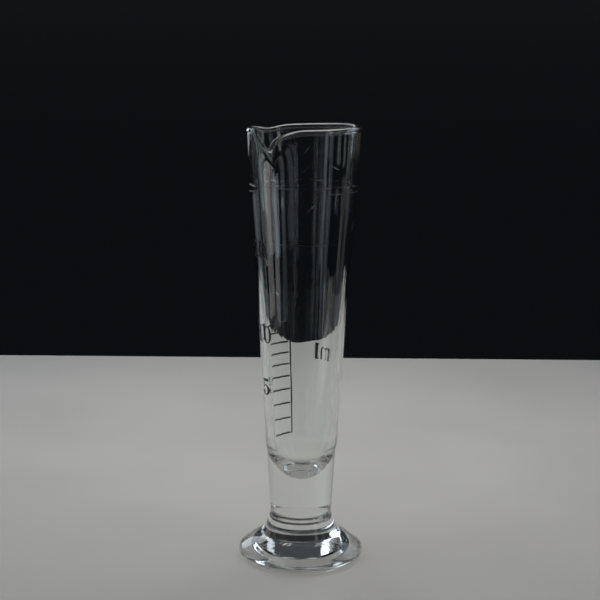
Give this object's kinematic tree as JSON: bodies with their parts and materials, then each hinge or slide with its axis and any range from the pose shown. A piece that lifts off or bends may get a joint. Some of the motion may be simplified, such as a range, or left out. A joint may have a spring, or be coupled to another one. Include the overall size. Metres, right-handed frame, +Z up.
{
  "type": "footed glass bar jigger",
  "caption": "Slender conical glass jigger on a stem and round foot, with a pouring lip and an enamel millilitre scale.",
  "frame": {"origin": "centre of the foot's underside, on the surface that the measure stands on", "axes": "+Z up along the axis of the bowl, -Y towards the pouring lip, +X to the right when the lip faces the viewer"},
  "size_m": [0.036, 0.036, 0.1256],
  "materials": {
    "bowl_glass": "clear drawn glass with faint vertical striae and light wear",
    "stem_glass": "clear solid glass, polished",
    "collar_glass": "clear solid glass, polished",
    "foot_glass": "clear pressed glass, worn on its contact ring",
    "scale_enamel": "fired-on dark red-brown enamel, slightly worn",
    "numeral_enamel": "fired-on dark red-brown enamel, slightly worn"
  },
  "bodies": {
    "root": {"bowl": "bowl_glass", "stem": "stem_glass", "collar": "collar_glass", "foot": "foot_glass", "scale_line": "scale_enamel", "mark_01": "scale_enamel", "mark_02": "scale_enamel", "mark_03": "scale_enamel", "mark_04": "scale_enamel", "mark_05": "scale_enamel", "mark_06": "scale_enamel", "mark_07": "scale_enamel", "mark_08": "scale_enamel", "mark_09": "scale_enamel", "mark_10": "scale_enamel", "mark_20": "scale_enamel", "numeral_05_digit_5": "numeral_enamel", "numeral_10_digit_1": "numeral_enamel", "numeral_10_digit_0": "numeral_enamel", "numeral_20_digit_2": "numeral_enamel", "numeral_20_digit_0": "numeral_enamel", "unit_letter_m": "numeral_enamel", "unit_letter_l": "numeral_enamel"}
  },
  "joints": []
}
